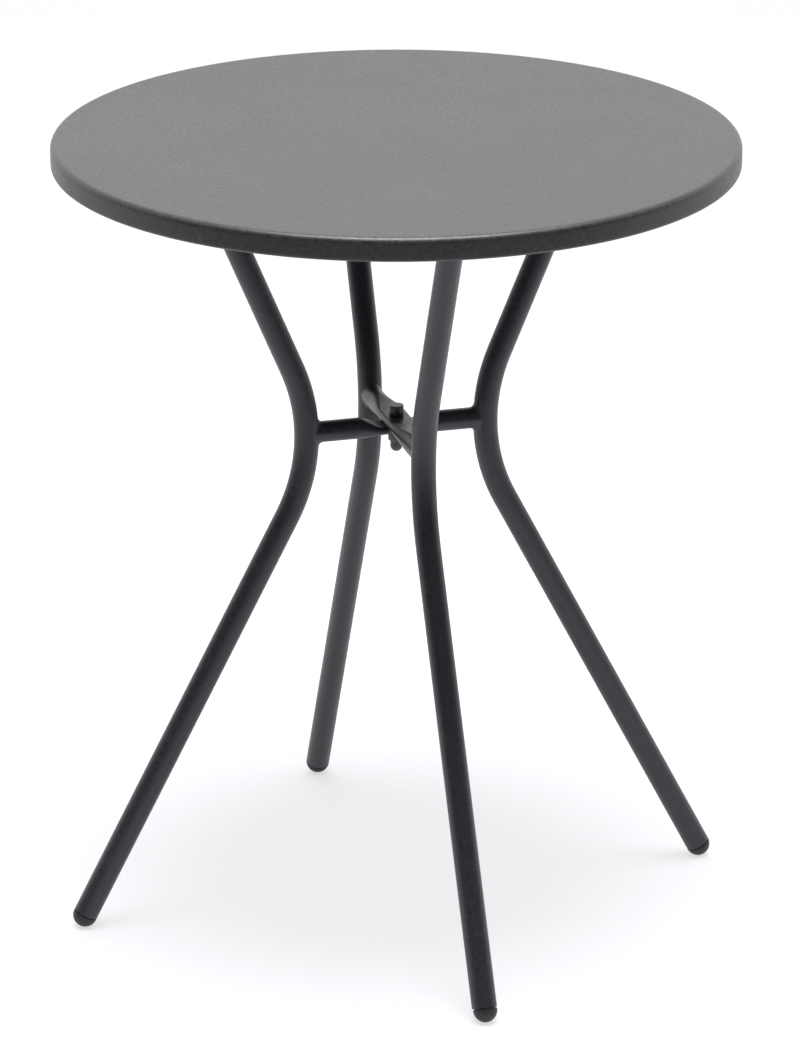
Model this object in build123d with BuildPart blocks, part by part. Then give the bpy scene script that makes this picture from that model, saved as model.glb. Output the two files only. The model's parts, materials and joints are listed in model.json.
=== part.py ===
from build123d import *
from dataclasses import dataclass
from math import cos, pi, radians, sin
import os

# Bistro table: a round pressed-steel top on two crossed frames of bent tube. Millimetres, +Z up.
# The origin is on the floor, under the centre of the top. The lower frame stands in the XZ plane
# and the upper frame in the YZ plane. Their stretchers are pressed flat where they cross, and one
# bolt holds them together there. Each leg ends in a plate that is screwed up under the top.

# Top
table_height = 716
top_radius = 300
top_sheet = 1.2
rim_depth = 20.5
rim_upper_bend = 5
rim_lower_bend = 3
rim_lip = 9

# Channels that stiffen the top from below
channel_reach = 225
channel_height = 12
channel_web = 60
channel_flange = 12
channel_sheet = 1.5
channel_bend = 2.5
channel_gap = 0.5

# Leg tube and its bend
tube_radius = 11
tube_wall = 1.5
bend_radius = 161.5

# Stretcher tube, pressed flat in the middle
stretcher_radius = 9.5
stretcher_wall = 1.5
flat_thickness = 7
press_stations = 5
least_squash = 0.1
stretcher_weld = 4.5
weld_seam_tolerance = 0.001

# Plate on top of each leg
plate_width = 58
plate_depth = 38
plate_thickness = 3
plate_corner = 6
plate_hole_reach = 21
plate_weld = 3

# Plug in the foot of each leg
plug_band = 1.5
plug_seam = 0.4
plug_stem_length = 18
plug_stem_radius = 8.2
plug_rib_radius = 9.4
plug_rib_count = 4
plug_rib_width = 2

# Bolt, washer and cap nut at the crossing: M8
bolt_radius = 4
bolt_length = 25
bolt_head_radius = 6.5
bolt_head_height = 9.7
washer_radius = 8
washer_thickness = 1.6
cap_nut_flats = 13
cap_nut_hex_height = 7.6
cap_nut_height = 18
cap_nut_dome_radius = 5.5
cap_nut_bore_depth = 12

# Screws, washers and weld nuts under the top: M6
screw_radius = 3
screw_length = 12
screw_head_radius = 5.25
screw_head_height = 3.3
screw_socket_flats = 4
screw_socket_depth = 2
screw_washer_radius = 6
screw_washer_thickness = 1.6
weld_nut_flats = 10
weld_nut_height = 5

# Clearances round the bolts and screws
hole_clearance = 0.3
thread_clearance = 0.05
edge_break = 0.5


@dataclass
class Frame:
    """Two legs that mirror each other and the stretcher between them.

    The sizes are of the near leg's centreline, in its own upright plane: local X runs outward from
    the centre line of the table and local Y runs up. The stretcher's flat middle sits off the axis
    of its round ends, because each stretcher is pressed mostly on the side that meets the other.
    """

    near_leg: str
    far_leg: str
    mirror_plane: Plane
    leg_plane: Plane
    waist_radius: float
    waist_height: float
    lower_lean: float
    upper_lean: float
    stretcher_height: float
    flat_height: float
    flat_half_length: float
    press_length: float


right_leg_plane = Plane(origin=(0, 0, 0), x_dir=(1, 0, 0), z_dir=(0, -1, 0))
front_leg_plane = Plane(origin=(0, 0, 0), x_dir=(0, -1, 0), z_dir=(-1, 0, 0))
crossing_height = 454

lower_frame = Frame(
    near_leg="right",
    far_leg="left",
    mirror_plane=Plane.YZ,
    leg_plane=right_leg_plane,
    waist_radius=82.3,
    waist_height=449.8,
    lower_lean=27.7,
    upper_lean=22.8,
    stretcher_height=452,
    flat_height=crossing_height - flat_thickness / 2,
    flat_half_length=15,
    press_length=20,
)
upper_frame = Frame(
    near_leg="front",
    far_leg="back",
    mirror_plane=Plane.XZ,
    leg_plane=front_leg_plane,
    waist_radius=88.1,
    waist_height=442.3,
    lower_lean=26.5,
    upper_lean=23.7,
    stretcher_height=453,
    flat_height=crossing_height + flat_thickness / 2,
    flat_half_length=16,
    press_length=48,
)

# Heights that follow from the sizes above
top_underside = table_height - top_sheet
channel_underside = top_underside - channel_height
plate_underside = channel_underside - plate_thickness
screw_seat = plate_underside - screw_washer_thickness
bolt_seat = crossing_height + flat_thickness
washer_top = crossing_height - flat_thickness
cap_nut_top = washer_top - washer_thickness

os.makedirs("parts", exist_ok=True)


def write(piece, name):
    """Label a finished piece and write it as its own file."""
    piece.part.label = name
    export_step(piece.part, f"parts/{name}.step")


def write_pair(piece, name, frame):
    """Write a piece of the near leg, and its mirror image at the far leg."""
    write(piece, f"{name}_{frame.near_leg}")
    with BuildPart() as mirrored_piece:
        mirror(piece.part, about=frame.mirror_plane)
    write(mirrored_piece, f"{name}_{frame.far_leg}")


def tangent_points(frame):
    """Radius and height of the leg's lower and upper tangent points, where the bend ends."""
    lower = radians(frame.lower_lean)
    upper = radians(frame.upper_lean)
    centre_radius = frame.waist_radius + bend_radius
    low = (centre_radius - bend_radius * cos(lower), frame.waist_height - bend_radius * sin(lower))
    high = (centre_radius - bend_radius * cos(upper), frame.waist_height + bend_radius * sin(upper))
    return low, high


def point_below(frame, height):
    """Radius and height of the point on the leg's lower straight that is at a height."""
    low, _ = tangent_points(frame)
    lean = radians(frame.lower_lean)
    return low[0] + (low[1] - height) * sin(lean) / cos(lean), height


def point_above(frame, height):
    """Radius and height of the point on the leg's upper straight that is at a height."""
    _, high = tangent_points(frame)
    lean = radians(frame.upper_lean)
    return high[0] + (height - high[1]) * sin(lean) / cos(lean), height


def leg_tube(frame, bore_radius=None):
    """The near leg's bent tube, from its square-cut foot to the plate, solid or with a bore."""
    tube_end_height = tube_radius + plug_band * cos(radians(frame.lower_lean))
    low, high = tangent_points(frame)
    waist = (frame.waist_radius, frame.waist_height)
    with BuildLine(frame.leg_plane) as centreline:
        Line(point_below(frame, tube_end_height), low)
        ThreePointArc(low, waist, high)
        Line(high, point_above(frame, plate_underside + tube_radius))
    foot = Plane(origin=centreline.line @ 0, x_dir=frame.leg_plane.z_dir, z_dir=centreline.line % 0)
    with BuildPart() as tube:
        with BuildSketch(foot):
            Circle(tube_radius)
            if bore_radius:
                Circle(bore_radius, mode=Mode.SUBTRACT)
        sweep(path=centreline.line)
        split(bisect_by=Plane.XY.offset(plate_underside), keep=Keep.BOTTOM)
    return tube


def stretcher_plane(frame, reach, height):
    """A plane across the stretcher at a distance from the middle, with local X level."""
    outward = frame.leg_plane.x_dir
    centre = frame.leg_plane.from_local_coords((reach, height))
    return Plane(origin=centre, x_dir=frame.leg_plane.z_dir, z_dir=outward)


def pressed_section(plane, height, skin):
    """The tube pressed to a height: its girth stays, so what it loses in height it gains in width."""
    flat = pi * (2 * stretcher_radius - height) / 2
    with BuildSketch(plane) as section:
        SlotCenterToCenter(flat, height - 2 * skin)
    return section.sketch


def press_transition(frame, skin):
    """The sections of a stretcher from the edge of its flat middle out to where it is round."""
    round_height = 2 * stretcher_radius - least_squash
    sections = []
    for station in range(press_stations + 1):
        share = station / press_stations
        ease = share * share * (3 - 2 * share)
        reach = frame.flat_half_length + share * frame.press_length
        middle = frame.flat_height + ease * (frame.stretcher_height - frame.flat_height)
        plane = stretcher_plane(frame, reach, middle)
        height = flat_thickness + ease * (round_height - flat_thickness)
        sections.append(pressed_section(plane, height, skin))
    return sections


def pressed_bar(frame, skin):
    """The stretcher's outline, drawn in by a skin: none for its outside, the wall for its bore."""
    sections = press_transition(frame, skin)
    with BuildPart() as bar:
        extrude(sections[0], amount=-frame.flat_half_length)
        loft(sections)
        extrude(sections[-1], amount=frame.waist_radius - frame.flat_half_length - frame.press_length)
        mirror(about=frame.mirror_plane)
    return bar


def corner_weld(first, second, radius):
    """The bead in the corner between two solids: their filleted union, less their bare union."""

    def on_both(edge):
        middle = edge @ 0.5
        return max(first.distance_to(middle), second.distance_to(middle)) < weld_seam_tolerance

    with BuildPart() as bead:
        add(first)
        add(second)
        bare = bead.part
        fillet(bead.edges().filter_by(on_both), radius)
        add(bare, mode=Mode.SUBTRACT)
    return bead


# Top: one sheet pressed to a pan, with its rim turned down and a lip turned in below
with BuildPart() as top_panel:
    with BuildSketch(Plane.XZ):
        with BuildLine():
            FilletPolyline(
                (0, table_height),
                (top_radius, table_height),
                (top_radius, table_height - rim_depth),
                (top_radius - rim_lip, table_height - rim_depth),
                radius=[rim_upper_bend, rim_lower_bend],
            )
            offset(amount=top_sheet, side=Side.RIGHT)
        make_face()
    revolve(axis=Axis.Z)
write(top_panel, "top_panel")


# Screw places: two in each plate, one on each side of the leg
def plate_plane(frame):
    """The near leg's plate: local X runs outward, and the plane is the plate's underside."""
    plate_radius, _ = point_above(frame, plate_underside)
    centre = frame.leg_plane.from_local_coords((plate_radius, plate_underside))
    return Plane(origin=centre, x_dir=frame.leg_plane.x_dir, z_dir=(0, 0, 1))


screw_places = []
for frame in (lower_frame, upper_frame):
    for side in (-1, 1):
        place = plate_plane(frame).from_local_coords((0, side * plate_hole_reach, 0))
        screw_places.append((place.X, place.Y))
        screw_places.append((-place.X, -place.Y))


# Channels under the top: one right across, and two short ones that butt against it
def hat_channel(name, plane, length):
    """A hat-shaped channel that runs along the plane's normal, with its flanges on the top's underside."""
    wall = channel_web / 2
    flange_underside = top_underside - channel_sheet
    with BuildPart() as channel:
        with BuildSketch(plane):
            with BuildLine():
                FilletPolyline(
                    (-wall - channel_flange, flange_underside),
                    (-wall, flange_underside),
                    (-wall, channel_underside),
                    (wall, channel_underside),
                    (wall, flange_underside),
                    (wall + channel_flange, flange_underside),
                    radius=channel_bend,
                )
                offset(amount=channel_sheet, side=Side.LEFT)
            make_face()
        extrude(amount=length)
        with BuildSketch(Plane.XY.offset(channel_underside)):
            with Locations(*screw_places):
                Circle(screw_radius + hole_clearance)
        extrude(amount=channel_sheet, mode=Mode.SUBTRACT)
    write(channel, name)


short_channel_start = channel_web / 2 + channel_flange + channel_gap
short_channel_length = channel_reach - short_channel_start
hat_channel("stiffener_long", Plane.YZ.offset(-channel_reach), 2 * channel_reach)
hat_channel("stiffener_front", Plane.XZ.offset(short_channel_start), short_channel_length)
hat_channel("stiffener_back", Plane.XZ.offset(-channel_reach), short_channel_length)


# Legs and stretchers
def mounting_plate(plane):
    """The plate on top of a leg, with a screw hole on each side of the tube."""
    with BuildPart() as plate:
        with BuildSketch(plane):
            RectangleRounded(plate_depth, plate_width, plate_corner)
            with Locations((0, -plate_hole_reach), (0, plate_hole_reach)):
                Circle(screw_radius + hole_clearance, mode=Mode.SUBTRACT)
        extrude(amount=plate_thickness)
    return plate


def foot_plug(frame):
    """A plug with a domed foot and a ribbed stem that grips the inside of the tube."""
    foot_centre = frame.leg_plane.from_local_coords(point_below(frame, tube_radius))
    across = frame.leg_plane.z_dir
    tube_axis = Vector(0, 0, 1).rotate(Axis((0, 0, 0), across), frame.lower_lean)
    stem_top = plug_band + plug_stem_length
    rib_pitch = plug_stem_length / plug_rib_count
    with BuildPart() as plug:
        with BuildSketch(Plane(origin=foot_centre, x_dir=tube_axis.cross(across), z_dir=across)):
            with BuildLine():
                Polyline(
                    (0, -tube_radius),
                    (0, stem_top),
                    (plug_stem_radius, stem_top),
                    (plug_stem_radius, plug_band),
                    (tube_radius - plug_seam, plug_band),
                    (tube_radius, plug_band - plug_seam),
                    (tube_radius, 0),
                )
                RadiusArc((tube_radius, 0), (0, -tube_radius), tube_radius)
            make_face()
            for rib in range(plug_rib_count):
                with Locations((0, plug_band + (rib + 0.5) * rib_pitch)):
                    Rectangle(plug_rib_radius, plug_rib_width, align=(Align.MIN, Align.CENTER))
        revolve(axis=Axis(foot_centre, tube_axis))
    return plug


def leg_set(frame):
    """Both legs of a frame, each with its mounting plate, the plate's weld and its foot plug."""
    write_pair(leg_tube(frame, bore_radius=tube_radius - tube_wall), "leg", frame)
    write_pair(mounting_plate(plate_plane(frame)), "mounting_plate", frame)
    write_pair(foot_plug(frame), "foot_plug", frame)
    with BuildPart() as plate_blank:
        with BuildSketch(plate_plane(frame)):
            Rectangle(plate_depth, plate_width)
        extrude(amount=plate_thickness)
    plate_bead = corner_weld(leg_tube(frame).part, plate_blank.part, plate_weld)
    write_pair(plate_bead, "plate_weld", frame)


def stretcher(name, frame):
    """A frame's stretcher, coped to both legs and drilled for the bolt, and its two weld beads."""
    rod = leg_tube(frame)
    outline = pressed_bar(frame, 0)
    with BuildPart() as far_rod:
        mirror(rod.part, about=frame.mirror_plane)
    with BuildPart() as tube:
        add(outline.part)
        add(pressed_bar(frame, stretcher_wall).part, mode=Mode.SUBTRACT)
        add(rod.part, mode=Mode.SUBTRACT)
        add(far_rod.part, mode=Mode.SUBTRACT)
        with BuildSketch(Plane.XY.offset(frame.flat_height - flat_thickness)):
            Circle(bolt_radius + hole_clearance)
        extrude(amount=2 * flat_thickness, mode=Mode.SUBTRACT)
    write(tube, name)
    write_pair(corner_weld(rod.part, outline.part, stretcher_weld), "stretcher_weld", frame)


leg_set(lower_frame)
leg_set(upper_frame)
stretcher("stretcher_lower", lower_frame)
stretcher("stretcher_upper", upper_frame)


# Bolt, washer and cap nut at the crossing
with BuildPart() as centre_bolt:
    with BuildSketch(Plane.XY.offset(bolt_seat)):
        Circle(bolt_head_radius)
    extrude(amount=bolt_head_height)
    chamfer(centre_bolt.faces().sort_by(Axis.Z)[-1].edges(), edge_break)
    with BuildSketch(Plane.XY.offset(bolt_seat)):
        Circle(bolt_radius)
    extrude(amount=-bolt_length)
    chamfer(centre_bolt.faces().sort_by(Axis.Z)[0].edges(), edge_break)
write(centre_bolt, "centre_bolt")

with BuildPart() as centre_washer:
    with BuildSketch(Plane.XY.offset(cap_nut_top)):
        Circle(washer_radius)
        Circle(bolt_radius + hole_clearance, mode=Mode.SUBTRACT)
    extrude(amount=washer_thickness)
write(centre_washer, "centre_washer")

with BuildPart() as centre_cap_nut:
    with BuildSketch(Plane.XY.offset(cap_nut_top)):
        RegularPolygon(cap_nut_flats / 2, 6, major_radius=False)
    extrude(amount=-cap_nut_hex_height)
    dome_base = cap_nut_top - cap_nut_height + cap_nut_dome_radius
    with BuildSketch(Plane.XY.offset(cap_nut_top)):
        Circle(cap_nut_dome_radius)
    extrude(amount=dome_base - cap_nut_top)
    with Locations((0, 0, dome_base)):
        Sphere(cap_nut_dome_radius)
    with BuildSketch(Plane.XY.offset(cap_nut_top)):
        Circle(bolt_radius + thread_clearance)
    extrude(amount=-cap_nut_bore_depth, mode=Mode.SUBTRACT)
write(centre_cap_nut, "centre_cap_nut")


# Screws, washers and weld nuts that hold the plates to the channels: two at each leg
with BuildPart() as one_screw:
    with BuildSketch(Plane.XY):
        Circle(screw_head_radius)
    extrude(amount=-screw_head_height)
    fillet(one_screw.faces().sort_by(Axis.Z)[0].edges(), screw_head_height - edge_break)
    with BuildSketch(Plane.XY.offset(-screw_head_height)):
        RegularPolygon(screw_socket_flats / 2, 6, major_radius=False)
    extrude(amount=screw_socket_depth, mode=Mode.SUBTRACT)
    with BuildSketch(Plane.XY):
        Circle(screw_radius)
    extrude(amount=screw_length)
    chamfer(one_screw.faces().sort_by(Axis.Z)[-1].edges(), edge_break)

with BuildPart() as plate_screws:
    with Locations(*[(x, y, screw_seat) for x, y in screw_places]):
        add(one_screw.part)
write(plate_screws, "plate_screws")

with BuildPart() as plate_washers:
    with BuildSketch(Plane.XY.offset(screw_seat)):
        with Locations(*screw_places):
            Circle(screw_washer_radius)
            Circle(screw_radius + hole_clearance, mode=Mode.SUBTRACT)
    extrude(amount=screw_washer_thickness)
write(plate_washers, "plate_washers")

with BuildPart() as weld_nuts:
    with BuildSketch(Plane.XY.offset(channel_underside + channel_sheet)):
        with Locations(*screw_places):
            RegularPolygon(weld_nut_flats / 2, 6, major_radius=False)
            Circle(screw_radius + thread_clearance, mode=Mode.SUBTRACT)
    extrude(amount=weld_nut_height)
write(weld_nuts, "weld_nuts")
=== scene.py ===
import json
import math

import bmesh
import bpy
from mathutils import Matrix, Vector


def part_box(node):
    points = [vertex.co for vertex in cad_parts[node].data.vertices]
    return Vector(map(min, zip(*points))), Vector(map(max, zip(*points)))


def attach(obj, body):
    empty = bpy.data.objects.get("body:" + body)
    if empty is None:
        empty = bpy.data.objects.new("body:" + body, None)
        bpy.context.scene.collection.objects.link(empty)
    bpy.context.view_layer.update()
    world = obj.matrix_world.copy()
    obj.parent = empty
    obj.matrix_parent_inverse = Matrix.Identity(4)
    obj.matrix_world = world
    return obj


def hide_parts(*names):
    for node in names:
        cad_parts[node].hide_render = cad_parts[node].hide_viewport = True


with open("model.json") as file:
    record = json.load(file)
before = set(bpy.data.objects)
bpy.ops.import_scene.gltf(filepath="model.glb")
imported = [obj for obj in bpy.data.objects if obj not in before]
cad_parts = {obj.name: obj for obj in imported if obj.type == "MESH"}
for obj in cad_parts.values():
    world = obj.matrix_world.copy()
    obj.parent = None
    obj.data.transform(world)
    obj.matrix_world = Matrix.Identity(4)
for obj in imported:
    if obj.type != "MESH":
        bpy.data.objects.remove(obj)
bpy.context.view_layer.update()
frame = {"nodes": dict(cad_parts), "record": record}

# Sizes of the table
TUBE_RADIUS = 0.011
TUBE_WALL = 0.0015
BEND_RADIUS = 0.1615
STRETCHER_RADIUS = 0.0095
STRETCHER_WALL = 0.0015
STRETCHER_WELD = 0.0045
FLAT_THICKNESS = 0.007
TOP_SHEET = 0.0012
RIM_UPPER_BEND = 0.005
RIM_LOWER_BEND = 0.003
RIM_LIP = 0.009
PLATE_UNDERSIDE = 0.6998
PLUG_BAND = 0.0015
PLUG_SEAM_HEIGHT = 0.0009
PLUG_SEAM_DEPTH = 0.0012
PLUG_SEAM_EDGE = 0.0001
PLUG_SHOULDER = 0.0003
PLUG_BAND_TAPER = 0.0002
LOOSE_PLUG = "front"
LOOSE_PLUG_SHARE = 0.965
LOOSE_PLUG_SHIFT = 0.0004
PLUG_STEM_RADIUS = 0.0082
PLUG_STEM_LENGTH = 0.018
PLUG_RIB_RADIUS = 0.0094
PLUG_RIB_COUNT = 4
PLUG_RIB_WIDTH = 0.002
PLUG_END_RADIUS = 0.0005
BOLT_RADIUS = 0.004
BOLT_HEAD_RADIUS = 0.0065
BOLT_HEAD_HEIGHT = 0.0097
BOLT_CROWN_EDGE = 0.0006
BOLT_SEAT_EDGE = 0.0003
BOLT_POINT_CHAMFER = 0.0005
BOLT_CENTRE = 0.0003
WASHER_RADIUS = 0.008
WASHER_BORE = 0.0043
WASHER_EDGE = 0.0002
NUT_FLATS = 0.013
NUT_HEX_HEIGHT = 0.0076
NUT_DOME_RADIUS = 0.0055
NUT_TURNED = 0.0077
NUT_UPPER_FACE = 0.00635
NUT_UPPER_CHAMFER = 0.0007
NUT_LOWER_FACE = 0.00625
NUT_LOWER_CHAMFER = 0.0009
NUT_NECK_FILLET = 0.0003

# How far short of the leg a stretcher's coped end starts, and how much its round ends lack of
# being quite round, so that its section always has a flat side
COPE_ALLOWANCE = 0.0015
LEAST_SQUASH = 0.0001

# Each frame's near leg and stretcher, in metres and degrees
FRAMES = {
    "lower": {
        "waist_radius": 0.0823, "waist_height": 0.4498, "lower_lean": 27.7, "upper_lean": 22.8,
        "stretcher_height": 0.452, "flat_height": 0.4505, "flat_half": 0.015, "press": 0.020,
    },
    "upper": {
        "waist_radius": 0.0881, "waist_height": 0.4423, "lower_lean": 26.5, "upper_lean": 23.7,
        "stretcher_height": 0.453, "flat_height": 0.4575, "flat_half": 0.016, "press": 0.048,
    },
}
# Each leg's frame and the compass angle it points to
LEGS = {
    "right": ("lower", 0),
    "left": ("lower", 180),
    "front": ("upper", -90),
    "back": ("upper", 90),
}

# The waves in a weld bead's face: their size, how many go round, and where they start
BEAD_RIPPLES = ((0.00009, 31, 0.0), (0.00006, 13, 1.0))
BEAD_RIPPLE_LIMIT = 0.0001

# Camera: the view of the photograph
CAMERA_AZIMUTH = math.radians(-15.63)
CAMERA_ELEVATION = math.radians(20.40)
CAMERA_DISTANCE = 4.382
CAMERA_TARGET = Vector((0.0031, -0.0009, 0.3565))
CAMERA_LENS = 168.0
CAMERA_SENSOR = 36.0

# Fineness of the meshes, and the angle from which an edge is sharp
SHARP_ANGLE = math.radians(38)
TOP_SEGMENTS = 360
TUBE_SIDES = 72
LOWER_LEG_STEPS = 14
BEND_STEPS = 40
UPPER_LEG_STEPS = 12
STRETCHER_SIDES = 112
STRETCHER_STEPS = 96
BEAD_STEPS = 160
BEAD_ARC_POINTS = 9
NUT_SIDES = 120

# Studio floor and light. The light is by direction, and the floor dims towards the camera.
FLOOR_HALF = 6.0
FLOOR_DIM_FROM = 0.5
FLOOR_DIM_TO = 1.2
FLOOR_DIM_SHARE = 0.12
LEVEL_TO_CAMERA = Vector((math.sin(CAMERA_AZIMUTH), -math.cos(CAMERA_AZIMUTH), 0.0))
FLOOR_GLOW = 0.62
LIGHT_BEHIND = 1.38
LIGHT_IN_FRONT = 0.02
LIGHT_ABOVE = 0.75
SOFTBOX_PLACE = Vector((0.0, -0.16, 2.7))
SOFTBOX_SIZE = 1.5
SOFTBOX_POWER = 80.0


# ---------------------------------------------------------------- node helpers


def node_adder(owner):
    """Empty a material's or a world's node tree, and give a function that adds a node to it."""
    owner.use_nodes = True
    tree = owner.node_tree
    tree.nodes.clear()

    def add(kind, inputs=None, **settings):
        node = tree.nodes.new(kind)
        for key, value in settings.items():
            setattr(node, key, value)
        for key, value in (inputs or {}).items():
            if isinstance(value, bpy.types.NodeSocket):
                tree.links.new(value, node.inputs[key])
            else:
                node.inputs[key].default_value = value
        return node

    return add


def new_material(name):
    """An empty node material and the function that adds a node to it."""
    material = bpy.data.materials.new(name)
    return material, node_adder(material)


def colour(red, green, blue):
    return (red, green, blue, 1.0)


def noise_field(add, place, scale, detail=2.0, roughness=0.5, distortion=0.0):
    """A noise texture over the object's own coordinates, in features per metre."""
    inputs = {"Vector": place, "Scale": scale, "Detail": detail, "Roughness": roughness}
    inputs["Distortion"] = distortion
    return add("ShaderNodeTexNoise", inputs).outputs["Fac"]


def remap(add, value, from_low, from_high, to_low, to_high, kind="LINEAR"):
    inputs = {"Value": value, "From Min": from_low, "From Max": from_high}
    inputs.update({"To Min": to_low, "To Max": to_high})
    return add("ShaderNodeMapRange", inputs, interpolation_type=kind).outputs["Result"]


def mix_colour(add, share, first, second):
    """Mix two colours. A colour mix node has its factor at socket 0 and its colours at 6 and 7."""
    return add("ShaderNodeMix", {0: share, 6: first, 7: second}, data_type="RGBA").outputs[2]


def maths(add, operation, first, second=0.0):
    return add("ShaderNodeMath", {0: first, 1: second}, operation=operation).outputs["Value"]


def dot(add, first, second):
    inputs = {0: first, 1: second}
    return add("ShaderNodeVectorMath", inputs, operation="DOT_PRODUCT").outputs["Value"]


def scaled(base, factor):
    return colour(*(factor * channel for channel in base))


def shade(add, surface, roughness, relief, strength, distance, **extra):
    """Join colour, roughness and bump to a shader and to the material's output."""
    bump = add("ShaderNodeBump", {"Strength": strength, "Distance": distance, "Height": relief})
    inputs = {"Base Color": surface, "Roughness": roughness, "Normal": bump.outputs["Normal"]}
    inputs.update(extra)
    shader = add("ShaderNodeBsdfPrincipled", inputs)
    add("ShaderNodeOutputMaterial", {"Surface": shader.outputs["BSDF"]})


# ---------------------------------------------------------------- materials


def mark(add, place, centre, angle, size):
    """One inside a small ellipsoid and nothing outside it, for a scratch or a nick."""
    turn = (0.0, 0.0, math.radians(angle))
    inputs = {"Vector": place, "Location": centre, "Rotation": turn, "Scale": size}
    local = add("ShaderNodeMapping", inputs, vector_type="TEXTURE").outputs["Vector"]
    away = add("ShaderNodeVectorMath", {0: local}, operation="LENGTH").outputs["Value"]
    return remap(add, away, 1.0, 0.45, 0.0, 1.0)


def powder_coat(name, base, worn, roughness, clouding=0.08, marks=()):
    """Fine-textured powder coat: orange peel, a speckled grain, soft mottling and rubbed edges."""
    material, add = new_material(name)
    place = add("ShaderNodeTexCoord").outputs["Object"]
    mottle = noise_field(add, place, 38.0, detail=5.0, roughness=0.62, distortion=0.6)
    patches = noise_field(add, place, 7.0, detail=2.0)
    grain = noise_field(add, place, 1400.0, detail=2.0)
    speckle = noise_field(add, place, 300.0, detail=4.0, roughness=0.75)
    peel = noise_field(add, place, 520.0, detail=1.0)
    tone = remap(add, mottle, 0.3, 0.7, 0.0, 1.0)
    surface = mix_colour(add, tone, scaled(base, 1.0 - clouding), scaled(base, 1.0 + clouding))
    edge = add("ShaderNodeBevel", {"Radius": 0.0012}, samples=6).outputs["Normal"]
    flat = add("ShaderNodeNewGeometry").outputs["Normal"]
    rubbed = remap(add, dot(add, edge, flat), 0.99, 0.86, 0.0, 0.7)
    broken = maths(add, "MULTIPLY", rubbed, remap(add, grain, 0.35, 0.65, 0.3, 1.0))
    surface = mix_colour(add, broken, surface, colour(*worn))
    surface = mix_colour(add, remap(add, speckle, 0.35, 0.65, 0.0, 0.3), surface, colour(*worn))
    for centre, angle, size, strength in marks:
        share = maths(add, "MULTIPLY", mark(add, place, centre, angle, size), strength)
        surface = mix_colour(add, share, surface, colour(*worn))
    fine = remap(add, speckle, 0.35, 0.65, -0.09, 0.09)
    gloss = maths(add, "ADD", fine, remap(add, patches, 0.3, 0.7, -0.01, 0.01))
    fine_relief = maths(add, "ADD", maths(add, "MULTIPLY", grain, 0.35), peel)
    relief = maths(add, "ADD", fine_relief, maths(add, "MULTIPLY", speckle, 2.0))
    shade(add, surface, maths(add, "ADD", gloss, roughness), relief, 0.6, 0.00016, IOR=1.5)
    return material


def plain_plastic(name, base, roughness):
    """Moulded plastic with a fine spark-eroded texture."""
    material, add = new_material(name)
    place = add("ShaderNodeTexCoord").outputs["Object"]
    grain = noise_field(add, place, 2200.0, detail=2.0)
    scuffs = noise_field(add, place, 160.0, detail=4.0, distortion=0.8)
    share = remap(add, scuffs, 0.45, 0.75, 0.0, 1.0)
    surface = mix_colour(add, share, colour(*base), scaled(base, 1.6))
    gloss = remap(add, scuffs, 0.3, 0.7, roughness - 0.06, roughness + 0.08)
    shade(add, surface, gloss, grain, 0.3, 0.00008, IOR=1.47)
    return material


def zinc_plate(name):
    """Bright zinc plating, slightly clouded, with a faint yellow passivation."""
    material, add = new_material(name)
    place = add("ShaderNodeTexCoord").outputs["Object"]
    cloud = noise_field(add, place, 240.0, detail=4.0, distortion=0.5)
    fine = noise_field(add, place, 1600.0, detail=2.0)
    share = remap(add, cloud, 0.35, 0.65, 0.0, 1.0)
    surface = mix_colour(add, share, colour(0.62, 0.60, 0.54), colour(0.70, 0.71, 0.72))
    gloss = remap(add, cloud, 0.3, 0.7, 0.28, 0.42)
    shade(add, surface, gloss, fine, 0.2, 0.00005, Metallic=1.0)
    return material


COAT = powder_coat("powder_coat", (0.019, 0.0178, 0.0245), (0.060, 0.059, 0.068), 0.40)
# The top's own coat, with two fine scratches on its face and a nick and a mark on its rim, each
# as its centre, its angle, its half-lengths and its strength
TOP_COAT = powder_coat(
    "top_coat", (0.018, 0.0175, 0.0195), (0.095, 0.094, 0.098), 0.40, clouding=0.05,
    marks=[
        ((-0.206, -0.038, 0.716), -15.6, (0.021, 0.0007, 0.002), 0.9),
        ((-0.076, -0.013, 0.716), -15.6, (0.013, 0.0006, 0.002), 0.8),
        ((-0.017, -0.2995, 0.701), 0.0, (0.0011, 0.001, 0.0009), 1.0),
        ((-0.223, -0.2005, 0.7024), 42.0, (0.0006, 0.002, 0.005), 0.5),
    ],
)
BLACK = powder_coat("black_coat", (0.030, 0.030, 0.034), (0.16, 0.16, 0.16), 0.38)
PLASTIC = plain_plastic("plug_plastic", (0.016, 0.016, 0.019), 0.5)
ZINC = zinc_plate("zinc_plate")
SLOT_MATERIALS = {
    "powder_coat": COAT,
    "black_fastener": BLACK,
    "plug_plastic": PLASTIC,
    "zinc_fastener": ZINC,
}


# ---------------------------------------------------------------- mesh helpers


def finish_piece(name, vertices, faces, material, node):
    """Make a smooth mesh piece that stands for a CAD node and rides on the root body."""
    mesh = bpy.data.meshes.new(name)
    mesh.from_pydata([tuple(v) for v in vertices], [], faces)
    tidy = bmesh.new()
    tidy.from_mesh(mesh)
    bmesh.ops.recalc_face_normals(tidy, faces=tidy.faces)
    for face in tidy.faces:
        face.smooth = True
    for edge in tidy.edges:
        edge.smooth = edge.calc_face_angle(0.0) < SHARP_ANGLE
    tidy.to_mesh(mesh)
    tidy.free()
    mesh.materials.append(material)
    piece = bpy.data.objects.new(name, mesh)
    bpy.context.scene.collection.objects.link(piece)
    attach(piece, "root")
    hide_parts(node)


def ring_points(radius, height, sides):
    """A level ring of points round the Z axis."""
    angles = [2 * math.pi * step / sides for step in range(sides)]
    return [(radius * math.cos(angle), radius * math.sin(angle), height) for angle in angles]


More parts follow.
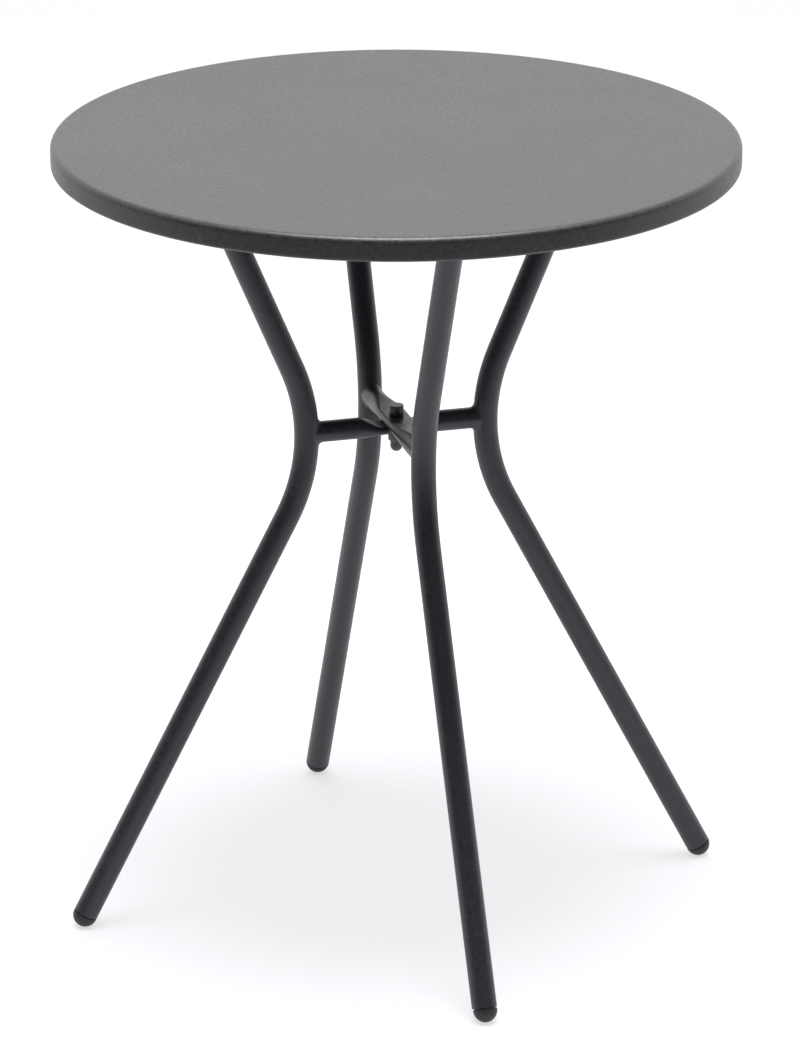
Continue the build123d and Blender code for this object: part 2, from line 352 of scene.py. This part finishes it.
def ring_faces(ring_count, ring_size, closed):
    """Quads between successive rings of points. A closed run joins its last ring to its first."""
    faces = []
    for ring in range(ring_count if closed else ring_count - 1):
        following = (ring + 1) % ring_count
        for step in range(ring_size):
            beside = (step + 1) % ring_size
            a = ring * ring_size
            b = following * ring_size
            faces.append((a + step, a + beside, b + beside, b + step))
    return faces


def capped_faces(ring_count, ring_size):
    """An open run of rings with a flat face over its first ring and its last."""
    faces = ring_faces(ring_count, ring_size, closed=False)
    faces.append(tuple(range(ring_size)))
    faces.append(tuple(range((ring_count - 1) * ring_size, ring_count * ring_size)))
    return faces


def arc_points(centre, radius, start, end, count):
    """Points of an arc in a profile's plane, with its angles in degrees."""
    points = []
    for step in range(count + 1):
        angle = math.radians(start + (end - start) * step / count)
        points.append((centre[0] + radius * math.cos(angle), centre[1] + radius * math.sin(angle)))
    return points


# ---------------------------------------------------------------- top


def top_profile():
    """The pressed sheet's outline as (radius, height), from mid-face round to its back."""
    low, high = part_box("top_panel")
    radius = high.x
    top = high.z
    bottom = low.z
    inner_top = top - TOP_SHEET
    wall = radius - TOP_SHEET
    shares = (0.004, 0.02, 0.06, 0.12, 0.2, 0.3, 0.4, 0.5, 0.6, 0.7, 0.8, 0.88, 0.94, 0.97)
    face = [(radius * share, top) for share in shares]
    upper = (radius - RIM_UPPER_BEND, top - RIM_UPPER_BEND)
    lower = (radius - RIM_LOWER_BEND, bottom + RIM_LOWER_BEND)
    shoulder = arc_points(upper, RIM_UPPER_BEND, 90, 0, 10)
    rim = [(radius, upper[1] - 0.004), (radius, lower[1] + 0.004)]
    hem = arc_points(lower, RIM_LOWER_BEND, 0, -90, 8)
    lip = [(radius - RIM_LIP, bottom), (radius - RIM_LIP, bottom + TOP_SHEET)]
    inner_hem = arc_points(lower, RIM_LOWER_BEND - TOP_SHEET, -90, 0, 6)
    inner_shoulder = arc_points(upper, RIM_UPPER_BEND - TOP_SHEET, 0, 90, 8)
    back = [(wall * share, inner_top) for share in (0.94, 0.8, 0.6, 0.4, 0.2, 0.06, 0.004)]
    return face + shoulder + rim + hem + lip + inner_hem + inner_shoulder + back


def lathe(name, profile, segments, material, node):
    """Turn a profile about the Z axis, with a small fan to close it at the middle."""
    vertices = []
    for radius, height in profile:
        vertices += ring_points(radius, height, segments)
    faces = ring_faces(len(profile), segments, closed=False)
    for ring, height in ((0, profile[0][1]), (len(profile) - 1, profile[-1][1])):
        centre = len(vertices)
        vertices.append((0, 0, height))
        for step in range(segments):
            start = ring * segments
            faces.append((start + step, start + (step + 1) % segments, centre))
    finish_piece(name, vertices, faces, material, node)


lathe("pressed_top", top_profile(), TOP_SEGMENTS, TOP_COAT, "top_panel")


# ---------------------------------------------------------------- legs


def in_leg_plane(leg, reach, height, sideways=0.0):
    """A point given outward from the middle of the table, up, and sideways, for one leg."""
    angle = math.radians(LEGS[leg][1])
    outward = Vector((math.cos(angle), math.sin(angle), 0.0))
    across = Vector((-math.sin(angle), math.cos(angle), 0.0))
    return outward * reach + across * sideways + Vector((0.0, 0.0, height))


def bend_centre(shape):
    return shape["waist_radius"] + BEND_RADIUS, shape["waist_height"]


def between(start, end, share):
    """The point a share of the way from one (reach, height) to another."""
    return start[0] + (end[0] - start[0]) * share, start[1] + (end[1] - start[1]) * share


def leg_stations(shape):
    """(reach, height, lean) along the leg's centreline, from its foot to the plate's underside."""
    centre, middle = bend_centre(shape)
    lower = math.radians(shape["lower_lean"])
    upper = math.radians(shape["upper_lean"])
    low = (centre - BEND_RADIUS * math.cos(lower), middle - BEND_RADIUS * math.sin(lower))
    high = (centre - BEND_RADIUS * math.cos(upper), middle + BEND_RADIUS * math.sin(upper))
    foot_height = TUBE_RADIUS + PLUG_BAND * math.cos(lower)
    foot = (low[0] + (low[1] - foot_height) * math.tan(lower), foot_height)
    head = (high[0] + (PLATE_UNDERSIDE - high[1]) * math.tan(upper), PLATE_UNDERSIDE)
    stations = []
    for step in range(LOWER_LEG_STEPS):
        stations.append(between(foot, low, step / LOWER_LEG_STEPS) + (-lower,))
    for step in range(BEND_STEPS + 1):
        turn = -lower + (lower + upper) * step / BEND_STEPS
        reach = centre - BEND_RADIUS * math.cos(turn)
        stations.append((reach, middle + BEND_RADIUS * math.sin(turn), turn))
    for step in range(1, UPPER_LEG_STEPS + 1):
        stations.append(between(high, head, step / UPPER_LEG_STEPS) + (upper,))
    return stations


def tube_ring(leg, station, radius, sides, level_cut):
    """A ring of the tube, square to its axis, or cut level where it meets the plate."""
    reach, height, lean = station
    ring = []
    for step in range(sides):
        angle = 2 * math.pi * step / sides
        out = radius * math.cos(angle)
        side = radius * math.sin(angle)
        if level_cut:
            place = (reach + out / math.cos(lean), height)
        else:
            place = (reach + out * math.cos(lean), height - out * math.sin(lean))
        ring.append(in_leg_plane(leg, *place, side))
    return ring


def make_leg(leg):
    """A bent tube with its wall, open at the foot and at the plate."""
    shape = FRAMES[LEGS[leg][0]]
    stations = leg_stations(shape)
    vertices = []
    walls = [(TUBE_RADIUS, station) for station in stations]
    walls += [(TUBE_RADIUS - TUBE_WALL, station) for station in reversed(stations)]
    for radius, station in walls:
        vertices += tube_ring(leg, station, radius, TUBE_SIDES, station is stations[-1])
    faces = ring_faces(len(walls), TUBE_SIDES, closed=True)
    finish_piece("tube_" + leg, vertices, faces, COAT, "leg_" + leg)


# ---------------------------------------------------------------- stretchers and their welds


def surface_reach(shape, height, sideways, radius=TUBE_RADIUS):
    """How far out the inner side of a leg's tube is, at a height and a distance sideways."""
    centre, middle = bend_centre(shape)
    around = BEND_RADIUS + math.sqrt(radius * radius - sideways * sideways)
    return centre - math.sqrt(around * around - (height - middle) ** 2)


def pressed_ring(height, skin):
    """The pressed tube's section as (sideways, up): its girth stays the same at any height."""
    flat = math.pi * (2 * STRETCHER_RADIUS - height) / 2
    round_part = height / 2 - skin
    girth = 2 * flat + 2 * math.pi * round_part
    ring = []
    for step in range(STRETCHER_SIDES):
        along = girth * ((step + 0.5) / STRETCHER_SIDES)
        if along < flat:
            ring.append((flat / 2 - along, round_part))
        elif along < flat + math.pi * round_part:
            turn = (along - flat) / round_part
            ring.append((-flat / 2 - round_part * math.sin(turn), round_part * math.cos(turn)))
        elif along < 2 * flat + math.pi * round_part:
            ring.append((-flat / 2 + along - flat - math.pi * round_part, -round_part))
        else:
            turn = (along - 2 * flat - math.pi * round_part) / round_part
            ring.append((flat / 2 + round_part * math.sin(turn), -round_part * math.cos(turn)))
    return ring


def pressed_state(shape, reach):
    """(height of the section, height of its middle) at a distance from the crossing."""
    share = min(max((abs(reach) - shape["flat_half"]) / shape["press"], 0.0), 1.0)
    ease = share * share * (3 - 2 * share)
    height = FLAT_THICKNESS + ease * (2 * STRETCHER_RADIUS - LEAST_SQUASH - FLAT_THICKNESS)
    climb = shape["stretcher_height"] - shape["flat_height"]
    return height, shape["flat_height"] + ease * climb


def make_stretcher(name, near_leg, frame_name):
    """A tube pressed flat in the middle and coped to both legs."""
    shape = FRAMES[frame_name]
    limit = shape["waist_radius"] - TUBE_RADIUS - COPE_ALLOWANCE
    steps = STRETCHER_STEPS
    reaches = [limit * (2 * step / steps - 1) for step in range(steps + 1)]
    vertices = []
    for skin, run in ((0.0, reaches), (STRETCHER_WALL, list(reversed(reaches)))):
        for place, reach in enumerate(run):
            height, middle = pressed_state(shape, reach)
            for sideways, up in pressed_ring(height, skin):
                out = reach
                if place in (0, steps):
                    out = math.copysign(surface_reach(shape, middle + up, sideways), reach)
                vertices.append(in_leg_plane(near_leg, out, middle + up, sideways))
    faces = ring_faces(2 * len(reaches), STRETCHER_SIDES, closed=True)
    finish_piece(name, vertices, faces, COAT, name)


def make_stretcher_weld(leg):
    """The bead round a stretcher's end, hollow as a ball rolled between the tubes leaves it."""
    shape = FRAMES[LEGS[leg][0]]
    centre, middle = bend_centre(shape)
    axis = shape["stretcher_height"]
    ball_ring = STRETCHER_RADIUS + STRETCHER_WELD
    ball_reach = TUBE_RADIUS + STRETCHER_WELD
    vertices = []
    for step in range(BEAD_STEPS):
        angle = 2 * math.pi * step / BEAD_STEPS
        sideways = ball_ring * math.cos(angle)
        up = axis + ball_ring * math.sin(angle)
        ball = Vector((surface_reach(shape, up, sideways, ball_reach), sideways, up))
        inward = Vector((ball.x - centre, 0.0, up - middle)).normalized()
        tube_axis = Vector((centre, 0.0, middle)) + inward * BEND_RADIUS
        to_leg = (tube_axis - ball).normalized()
        to_bar = Vector((0.0, -math.cos(angle), -math.sin(angle)))
        ripple = sum(size * math.sin(waves * angle + start) for size, waves, start in BEAD_RIPPLES)
        ripple = max(ripple, -BEAD_RIPPLE_LIMIT)
        for part in range(BEAD_ARC_POINTS):
            share = part / (BEAD_ARC_POINTS - 1)
            aim = to_bar.slerp(to_leg, share)
            swell = STRETCHER_WELD - ripple * math.sin(math.pi * share)
            point = ball + aim * swell
            vertices.append(in_leg_plane(leg, point.x, point.z, point.y))
        root_side = STRETCHER_RADIUS * math.cos(angle)
        root_up = axis + STRETCHER_RADIUS * math.sin(angle)
        root_reach = surface_reach(shape, root_up, root_side)
        vertices.append(in_leg_plane(leg, root_reach, root_up, root_side))
    faces = ring_faces(BEAD_STEPS, BEAD_ARC_POINTS + 1, closed=True)
    finish_piece("weld_" + leg, vertices, faces, COAT, "stretcher_weld_" + leg)


# ---------------------------------------------------------------- foot plugs


def plug_profile():
    """(radius, distance up the tube) of the plug, from under its dome to the top of its stem."""
    profile = arc_points((0.0, 0.0), TUBE_RADIUS, -89.2, 0, 20)
    seam_low = PLUG_BAND - PLUG_SEAM_HEIGHT
    seam_radius = TUBE_RADIUS - PLUG_SEAM_DEPTH
    profile += [(TUBE_RADIUS, PLUG_SHOULDER), (TUBE_RADIUS - PLUG_BAND_TAPER, seam_low)]
    profile += [(seam_radius, seam_low + PLUG_SEAM_EDGE), (seam_radius, PLUG_BAND)]
    profile.append((PLUG_STEM_RADIUS, PLUG_BAND))
    pitch = PLUG_STEM_LENGTH / PLUG_RIB_COUNT
    for rib in range(PLUG_RIB_COUNT):
        low = PLUG_BAND + (rib + 0.5) * pitch - PLUG_RIB_WIDTH / 2
        high = low + PLUG_RIB_WIDTH
        profile += [(PLUG_STEM_RADIUS, low), (PLUG_RIB_RADIUS, low)]
        profile += [(PLUG_RIB_RADIUS, high), (PLUG_STEM_RADIUS, high)]
    profile.append((PLUG_STEM_RADIUS, PLUG_BAND + PLUG_STEM_LENGTH))
    profile.append((PLUG_END_RADIUS, PLUG_BAND + PLUG_STEM_LENGTH))
    return profile


def make_plug(leg):
    """A domed plug on the tube's axis, its dome centred where the axis is one radius up.

    One plug is a little small for its tube and sits to one side.
    """
    shape = FRAMES[LEGS[leg][0]]
    lean = math.radians(shape["lower_lean"])
    reach, height, _ = leg_stations(shape)[0]
    dome = (reach + (height - TUBE_RADIUS) * math.tan(lean), TUBE_RADIUS)
    profile = plug_profile()
    share = LOOSE_PLUG_SHARE if leg == LOOSE_PLUG else 1.0
    shift = LOOSE_PLUG_SHIFT if leg == LOOSE_PLUG else 0.0
    vertices = []
    for radius, rise in profile:
        station = (dome[0] - rise * math.sin(lean), dome[1] + rise * math.cos(lean), -lean)
        ring = tube_ring(leg, station, radius * share, TUBE_SIDES, False)
        vertices += [point + in_leg_plane(leg, 0.0, 0.0, shift) for point in ring]
    faces = capped_faces(len(profile), TUBE_SIDES)
    finish_piece("plug_" + leg, vertices, faces, PLASTIC, "foot_plug_" + leg)


# ---------------------------------------------------------------- bolt, washer and cap nut


def make_bolt():
    low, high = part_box("centre_bolt")
    seat = high.z - BOLT_HEAD_HEIGHT
    crown_centre = (BOLT_HEAD_RADIUS - BOLT_CROWN_EDGE, high.z - BOLT_CROWN_EDGE)
    seat_centre = (BOLT_HEAD_RADIUS - BOLT_SEAT_EDGE, seat + BOLT_SEAT_EDGE)
    profile = [(radius, high.z) for radius in (BOLT_CENTRE, 0.003, 0.0052)]
    profile += arc_points(crown_centre, BOLT_CROWN_EDGE, 90, 0, 5)
    profile += arc_points(seat_centre, BOLT_SEAT_EDGE, 0, -90, 3)
    profile += [(BOLT_RADIUS, seat), (BOLT_RADIUS, low.z + BOLT_POINT_CHAMFER)]
    profile += [(BOLT_RADIUS - BOLT_POINT_CHAMFER, low.z), (BOLT_CENTRE, low.z)]
    lathe("bolt", profile, TUBE_SIDES, BLACK, "centre_bolt")


def make_washer():
    low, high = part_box("centre_washer")
    edge = WASHER_RADIUS - WASHER_EDGE
    profile = arc_points((edge, high.z - WASHER_EDGE), WASHER_EDGE, 90, 0, 3)
    profile += arc_points((edge, low.z + WASHER_EDGE), WASHER_EDGE, 0, -90, 3)
    profile += [(WASHER_BORE, low.z), (WASHER_BORE, high.z)]
    vertices = []
    for radius, height in profile:
        vertices += ring_points(radius, height, TUBE_SIDES)
    faces = ring_faces(len(profile), TUBE_SIDES, closed=True)
    finish_piece("washer", vertices, faces, BLACK, "centre_washer")


def make_cap_nut():
    """A hexagon with both ends turned to a cone, then a straight neck and a dome."""
    low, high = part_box("centre_cap_nut")
    hex_low = high.z - NUT_HEX_HEIGHT
    corner = NUT_FLATS / math.sqrt(3)
    vertices = []
    levels = [
        (high.z, NUT_UPPER_FACE),
        (high.z - NUT_UPPER_CHAMFER, NUT_TURNED),
        (hex_low + NUT_LOWER_CHAMFER, NUT_TURNED),
        (hex_low, NUT_LOWER_FACE),
    ]
    for height, turned in levels:
        for step in range(NUT_SIDES):
            angle = 2 * math.pi * step / NUT_SIDES
            within = (angle + math.pi / 6) % (math.pi / 3) - math.pi / 6
            across = corner * math.cos(math.pi / 6) / math.cos(math.pi / 6 - abs(within))
            radius = min(across, corner, turned)
            vertices.append((radius * math.cos(angle), radius * math.sin(angle), height))
    dome_base = low.z + NUT_DOME_RADIUS
    rings = [(NUT_DOME_RADIUS + NUT_NECK_FILLET, hex_low)]
    rings.append((NUT_DOME_RADIUS, hex_low - NUT_NECK_FILLET))
    rings += arc_points((0.0, dome_base), NUT_DOME_RADIUS, 0, -88, 12)
    for radius, height in rings:
        vertices += ring_points(radius, height, NUT_SIDES)
    faces = capped_faces(len(levels) + len(rings), NUT_SIDES)
    finish_piece("cap_nut", vertices, faces, BLACK, "centre_cap_nut")


for leg in LEGS:
    make_leg(leg)
    make_stretcher_weld(leg)
    make_plug(leg)
make_stretcher("stretcher_lower", "right", "lower")
make_stretcher("stretcher_upper", "front", "upper")
make_bolt()
make_washer()
make_cap_nut()


# ---------------------------------------------------------------- camera, floor and light


def towards_camera():
    """The direction from the table to the camera."""
    level = math.cos(CAMERA_ELEVATION)
    return Vector((
        math.sin(CAMERA_AZIMUTH) * level,
        -math.cos(CAMERA_AZIMUTH) * level,
        math.sin(CAMERA_ELEVATION),
    ))


def make_camera():
    data = bpy.data.cameras.new("camera")
    data.lens = CAMERA_LENS
    data.sensor_width = CAMERA_SENSOR
    camera = bpy.data.objects.new("camera", data)
    bpy.context.scene.collection.objects.link(camera)
    camera.location = CAMERA_TARGET + towards_camera() * CAMERA_DISTANCE
    camera.rotation_euler = (-towards_camera()).to_track_quat("-Z", "Y").to_euler()
    bpy.context.scene.camera = camera


def make_floor():
    """A wide white floor under the table. It lights the table less from in front than
    from below.

    It is clear from underneath, so that the table can also be looked at from there.
    """
    half = FLOOR_HALF
    corners = [(-half, -half, 0), (half, -half, 0), (half, half, 0), (-half, half, 0)]
    mesh = bpy.data.meshes.new("studio_floor")
    mesh.from_pydata(corners, [], [(0, 1, 2, 3)])
    floor = bpy.data.objects.new("studio_floor", mesh)
    bpy.context.scene.collection.objects.link(floor)
    material, add = new_material("studio_floor")
    place = add("ShaderNodeNewGeometry").outputs["Position"]
    ahead = dot(add, place, LEVEL_TO_CAMERA)
    near = remap(add, ahead, FLOOR_DIM_FROM, FLOOR_DIM_TO, 1.0, FLOOR_DIM_SHARE)
    seen = add("ShaderNodeLightPath").outputs["Is Camera Ray"]
    strength = maths(add, "MULTIPLY", maths(add, "MAXIMUM", near, seen), FLOOR_GLOW)
    diffuse = add("ShaderNodeBsdfDiffuse", {"Color": colour(0.45, 0.44, 0.47)})
    glow = add("ShaderNodeEmission", {"Color": colour(1.0, 0.995, 1.0), "Strength": strength})
    both = add("ShaderNodeAddShader", {0: diffuse.outputs[0], 1: glow.outputs[0]})
    below = add("ShaderNodeNewGeometry").outputs["Backfacing"]
    clear = add("ShaderNodeBsdfTransparent")
    surface = add("ShaderNodeMixShader", {0: below, 1: both.outputs[0], 2: clear.outputs[0]})
    add("ShaderNodeOutputMaterial", {"Surface": surface.outputs[0]})
    mesh.materials.append(material)


def make_world():
    """A white studio: bright behind the table and beside it, dim in front, soft from above."""
    world = bpy.data.worlds.new("studio")
    bpy.context.scene.world = world
    add = node_adder(world)
    towards = add("ShaderNodeTexCoord").outputs["Generated"]
    up = add("ShaderNodeSeparateXYZ", {0: towards}).outputs["Z"]
    facing = dot(add, towards, LEVEL_TO_CAMERA)
    around = remap(add, facing, -0.85, 0.42, LIGHT_BEHIND, LIGHT_IN_FRONT, kind="SMOOTHSTEP")
    low_down = remap(add, up, 0.4, 0.75, 1.0, 0.15, kind="SMOOTHSTEP")
    overhead = remap(add, up, 0.3, 0.95, 0.0, LIGHT_ABOVE, kind="SMOOTHSTEP")
    strength = maths(add, "ADD", maths(add, "MULTIPLY", around, low_down), overhead)
    tint = colour(1.0, 0.985, 1.0)
    light = add("ShaderNodeBackground", {"Color": tint, "Strength": strength}).outputs[0]
    backdrop = add("ShaderNodeBackground", {"Strength": 1.2}).outputs[0]
    seen = add("ShaderNodeLightPath").outputs["Is Camera Ray"]
    surface = add("ShaderNodeMixShader", {0: seen, 1: light, 2: backdrop}).outputs[0]
    add("ShaderNodeOutputWorld", {"Surface": surface})


def make_softbox():
    """A soft light high over the table, so that the top casts a faint pool of shadow."""
    data = bpy.data.lights.new("softbox", "AREA")
    data.shape = "DISK"
    data.size = SOFTBOX_SIZE
    data.energy = SOFTBOX_POWER
    softbox = bpy.data.objects.new("softbox", data)
    bpy.context.scene.collection.objects.link(softbox)
    softbox.location = SOFTBOX_PLACE
    softbox.rotation_euler = SOFTBOX_PLACE.to_track_quat("Z", "Y").to_euler()


make_camera()
make_floor()
make_world()
make_softbox()
bpy.context.scene.view_settings.view_transform = "Standard"

for entry in frame["record"]["subparts"]:
    node = frame["nodes"][entry["node"]]
    if not node.hide_render:
        node.data.materials.clear()
        node.data.materials.append(SLOT_MATERIALS[entry["material_slot"]])
